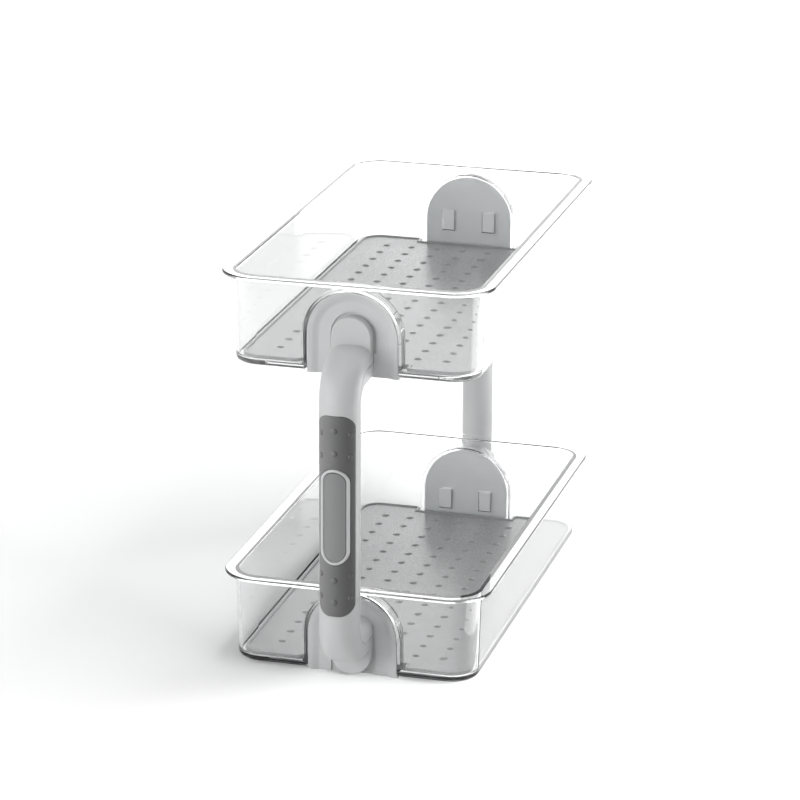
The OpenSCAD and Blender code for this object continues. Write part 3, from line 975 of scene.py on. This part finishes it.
def bump(turn, z):
    """A small round button on the grip's skin, turned round the post by an angle."""
    rings = []
    for share, rise in BUMP_EDGE:
        ring = []
        for k in range(BUMP_SIDES):
            a = 2 * pi * k / BUMP_SIDES
            around = BUMP_RADIUS * share * cos(a) / GRIP_SKIN + radians(turn)
            radius = GRIP_SKIN + rise
            ring.append((radius * sin(around), -FRONT_AXIS - radius * cos(around),
                         z + BUMP_RADIUS * share * sin(a)))
        rings.append(ring)
    return skin(rings)


print("a bump is", 2 * BUMP_RADIUS, "mm wide and stands", BUMP_PROUD, "mm proud")

# %% Build the grip
BUMP_SPACING = 12.6
BUMP_OFFSET = 42.2
BUMP_STAGGER = 2.3
BUMP_ANGLE = 46


def make_grip():
    layers = [(inset, GRIP_SKIN - drop) for inset, drop in eased(GRIP_EDGE)]
    grip = wrapped_panel("grip_pad", GRIP_BACK, layers, GRIP_LENGTH, GRIP_HALF_WIDTH, GRIP_CORNER)
    grown = BADGE_HALF_WIDTH + FIT_GAP
    hole = new_piece("badge_hole", *skin([stadium(grown, GRIP_BACK - OVERRUN / 2),
                                          stadium(grown, GRIP_SKIN + OVERRUN)]))
    combine(grip, hole, "DIFFERENCE")
    work = bmesh.new()
    work.from_mesh(grip.data)
    for end in (-1, 1):
        for pair in (-1, 1):
            for side in (-1, 0, 1):
                away = BUMP_OFFSET - abs(side) * BUMP_STAGGER
                z = GRIP_MIDDLE + end * away + pair * BUMP_SPACING / 2
                points, faces = bump(side * BUMP_ANGLE, z)
                made = [work.verts.new(p) for p in to_row(points)]
                for face in faces:
                    work.faces.new([made[k] for k in face])
    bmesh.ops.recalc_face_normals(work, faces=work.faces)
    work.to_mesh(grip.data)
    work.free()
    finish(grip, grip_rubber, "frame", ["grip"], sharp=40)


make_grip()

# %% Cut the bed and finish the cover
BED_GAP = 0.1
bed = wrapped_panel("bed", GRIP_BACK - FIT_GAP, [(0, GRIP_SKIN + OVERRUN / 2)],
                    GRIP_LENGTH + 2 * BED_GAP, GRIP_HALF_WIDTH + BED_GAP, GRIP_CORNER + BED_GAP)
combine(front_cover, bed, "DIFFERENCE")
finish(front_cover, handle_plastic, "frame", ["front_cover"], sharp=38)

# %% [markdown]
# ## Floor and background
# The organizer stands on a plain white floor that runs out of sight. A floor this large throws
# a lot of light back up, which flattens round parts, so it is paper white where a camera,
# mirror or glass ray looks and greyer for the light that it passes on. It also glows, more
# strongly far from the organizer, so that it stays white where the lamps no longer reach it.

# %% Floor
FLOOR_HALF = 6.0
FLOOR_WHITE = 0.98
FLOOR_BOUNCE = 0.55
FLOOR_ROUGHNESS = 0.9


def seen_rays(tree):
    """One where a camera, glossy or transmission ray looks, and zero elsewhere."""
    rays = node(tree, "ShaderNodeLightPath")
    first = node(tree, "ShaderNodeMath", operation="MAXIMUM")
    both = node(tree, "ShaderNodeMath", operation="MAXIMUM")
    tree.links.new(rays.outputs["Is Camera Ray"], first.inputs[0])
    tree.links.new(rays.outputs["Is Glossy Ray"], first.inputs[1])
    tree.links.new(first.outputs[0], both.inputs[0])
    tree.links.new(rays.outputs["Is Transmission Ray"], both.inputs[1])
    return both.outputs[0]


def sheet(name, corners, paint):
    """A flat sheet with four corners."""
    mesh = bpy.data.meshes.new(name)
    mesh.from_pydata(corners, [], [(0, 1, 2, 3)])
    mesh.materials.append(paint)
    return add(name, mesh)


floor_paint, floor_tree, floor_shader = new_material("floor_paper")
floor_shader.inputs["Roughness"].default_value = FLOOR_ROUGHNESS
floor_shader.inputs["Specular IOR Level"].default_value = 0
seen = seen_rays(floor_tree)
paper = ranged(floor_tree, seen, 0, 1, FLOOR_BOUNCE, FLOOR_WHITE)
floor_tree.links.new(paper, floor_shader.inputs["Base Color"])

corners = [(x * FLOOR_HALF, y * FLOOR_HALF, 0) for x, y in ((-1, -1), (1, -1), (1, 1), (-1, 1))]
floor = sheet("studio_floor", corners, floor_paint)
print("the floor is", 2 * FLOOR_HALF, "m wide")

# %% Glow of the far floor
NEAR_GLOW = 0.05
FAR_GLOW = 0.6
GLOW_START = 0.35
GLOW_END = 1.3
WHITE = (1, 1, 1, 1)

place = node(floor_tree, "ShaderNodeTexCoord")
away = node(floor_tree, "ShaderNodeVectorMath", operation="LENGTH")
floor_tree.links.new(place.outputs["Object"], away.inputs[0])
glow = node(floor_tree, "ShaderNodeMath", operation="MULTIPLY")
spread = ranged(floor_tree, away.outputs["Value"], GLOW_START, GLOW_END, NEAR_GLOW, FAR_GLOW)
floor_tree.links.new(spread, glow.inputs[0])
floor_tree.links.new(seen, glow.inputs[1])
floor_tree.links.new(glow.outputs[0], floor_shader.inputs["Emission Strength"])
floor_shader.inputs["Emission Color"].default_value = WHITE
print("the floor glows by", NEAR_GLOW, "under the organizer and by", FAR_GLOW, "far away")

# %% [markdown]
# ## The room
# The world is the room round the floor. It lights everything evenly from all sides. To the
# rays that look at it, it is white near the horizon and dark overhead, as a studio with a
# lit backdrop under a dark ceiling is: the dark part draws the thin lines in the clear rims.

# %% World
AMBIENT = 0.44
CEILING = 0.2
BACKDROP_TOP = 0.35
CEILING_START = 0.7

world = bpy.data.worlds.new("studio_world")
bpy.context.scene.world = world
world.use_nodes = True
world_tree = world.node_tree
sky = world_tree.nodes["Background"]
sky.inputs["Color"].default_value = WHITE
direction = node(world_tree, "ShaderNodeTexCoord")
height = node(world_tree, "ShaderNodeSeparateXYZ")
world_tree.links.new(direction.outputs["Generated"], height.inputs[0])
backdrop = ranged(world_tree, height.outputs["Z"], BACKDROP_TOP, CEILING_START, 1, CEILING)
sky_level = node(world_tree, "ShaderNodeMapRange")
sky_level.inputs["To Min"].default_value = AMBIENT
world_tree.links.new(backdrop, sky_level.inputs["To Max"])
world_tree.links.new(seen_rays(world_tree), sky_level.inputs["Value"])
world_tree.links.new(sky_level.outputs["Result"], sky.inputs["Strength"])
print("ambient light", AMBIENT, "and ceiling", CEILING)

# %% [markdown]
# ## Soft light
# The photograph has a tall soft light at the left, which runs down the post as a pale
# gradient, and a high one behind at the right, which lights the far edges of the round parts.
# Two more are there for the gloss: a wide one stands behind the organizer and shines in the
# mats, and one lies low at the right, faces upwards and whitens the long walls. The last two
# are helpers, one wide and far away at the right and one at the left. Area lamps are placed
# by their direction round the organizer, and turned to face its middle.

# %% Lamps
MIDDLE = Vector((0, 0, 0.11))
LOW_PLACE = (0.42, 0.5, 0.004)


def softbox(name, around, up, distance, width, height, radiance):
    """An area lamp around degrees to the right of the padded end and up degrees high."""
    lamp = bpy.data.lights.new(name, "AREA")
    lamp.shape = "RECTANGLE"
    lamp.size, lamp.size_y = width, height
    lamp.energy = radiance * width * height * pi
    holder = add(name, lamp)
    direction = Vector((sin(radians(around)) * cos(radians(up)),
                        -cos(radians(around)) * cos(radians(up)), sin(radians(up))))
    holder.location = MIDDLE + direction * distance
    holder.rotation_euler = direction.to_track_quat("Z", "Y").to_euler()
    holder.visible_camera = False
    return holder


left_light = softbox("left_softbox", around=-40, up=14, distance=1.6,
                     width=1.5, height=1.0, radiance=2.9)
high_light = softbox("right_softbox", around=118, up=50, distance=1.5,
                     width=0.9, height=0.9, radiance=3.0)
back_light = softbox("backdrop_softbox", around=190, up=17, distance=1.9,
                     width=2.6, height=1.0, radiance=1.4)
low_light = softbox("low_softbox", around=90, up=0, distance=1.0,
                    width=0.6, height=1.3, radiance=1.5)
low_light.location = LOW_PLACE
low_light.rotation_euler = (pi, 0, 0)
shadow_light = softbox("shadow_softbox", around=92, up=16, distance=4.0,
                       width=6.0, height=1.4, radiance=20)
grip_light = softbox("grip_softbox", around=-62, up=14, distance=1.6,
                     width=1.5, height=1.0, radiance=7)
grip_light.visible_glossy = False

# %% [markdown]
# ## Which lamp lights what
# Each lamp can be told which things it lights. The lamps close to the organizer would throw
# the mats' broad shadows far over the floor, so they leave the floor out. The far lamp lights
# only the floor, and draws the soft shadow beside the lower bin. One more soft light at the
# left is kept for the dark grip, so that its round front runs from light to dark. A black
# card at the right keeps the dark side of the post dark, as in a photographer's studio.

# %% Light groups
def group(name, thing, state):
    """A list of one thing for a lamp, either the only thing that it lights or the one left out."""
    listed = bpy.data.collections.new(name)
    listed.objects.link(thing)
    listed.collection_objects[0].light_linking.link_state = state
    return listed


grip_pad = bpy.data.objects["grip_pad"]
shadow_light.light_linking.receiver_collection = group("floor_only", floor, "INCLUDE")
grip_light.light_linking.receiver_collection = group("grip_only", grip_pad, "INCLUDE")
not_floor = group("all_but_floor", floor, "EXCLUDE")
for lamp in (left_light, high_light, back_light):
    lamp.light_linking.receiver_collection = not_floor
print("lamps that leave out the floor:", [lamp.name for lamp in (left_light, high_light, back_light)])

# %% Black card
CARD_NEAR = (0.75, -0.75)
CARD_FAR = (0.95, 0.2)
CARD_FOOT = 0.01
CARD_TOP = 0.55
BLACK = (0.01, 0.01, 0.01, 1)

card_paint, _, card_shader = new_material("black_paper")
card_shader.inputs["Base Color"].default_value = BLACK
card_shader.inputs["Specular IOR Level"].default_value = 0

corners = [(*CARD_NEAR, CARD_FOOT), (*CARD_FAR, CARD_FOOT),
           (*CARD_FAR, CARD_TOP), (*CARD_NEAR, CARD_TOP)]
card = sheet("black_card", corners, card_paint)
card.visible_camera = False
card.visible_transmission = False
card.visible_shadow = False
print("the black card is", CARD_TOP - CARD_FOOT, "m high")

# %% [markdown]
# ## The camera
# The photograph was taken with a long lens from a little above, so edges hardly converge. The
# camera's place, its turn and the small shift of the picture were worked out from the rims
# and floors of both bins in the photograph.

# %% Camera
CAMERA_PLACE = Vector((502.24, -1845.87, 749.35)) * MM
CAMERA_AROUND = radians(15.51)
CAMERA_UP = radians(18.05)
CAMERA_ROLL = radians(0.29)
CAMERA_LENS = 158.34
CAMERA_SHIFT = (0.00454, -0.01366)
SENSOR_WIDTH = 36
FAR_CLIP = 50

camera_data = bpy.data.cameras.new("photo_camera")
camera_data.sensor_width = SENSOR_WIDTH
camera_data.lens = CAMERA_LENS
camera_data.shift_x, camera_data.shift_y = CAMERA_SHIFT
camera_data.clip_end = FAR_CLIP
camera = add("photo_camera", camera_data)
right = Vector((cos(CAMERA_AROUND), sin(CAMERA_AROUND), 0))
back = Vector((sin(CAMERA_AROUND) * cos(CAMERA_UP),
               -cos(CAMERA_AROUND) * cos(CAMERA_UP), sin(CAMERA_UP)))
up = back.cross(right)
rolled_right = cos(CAMERA_ROLL) * right + sin(CAMERA_ROLL) * up
rolled_up = -sin(CAMERA_ROLL) * right + cos(CAMERA_ROLL) * up
camera.matrix_world = Matrix.Translation(CAMERA_PLACE) @ Matrix(
    (rolled_right, rolled_up, back)).transposed().to_4x4()
bpy.context.scene.camera = camera
bpy.context.scene.view_settings.view_transform = "Standard"
print("the camera stands", round((CAMERA_PLACE - MIDDLE).length, 2), "m from the organizer's middle")
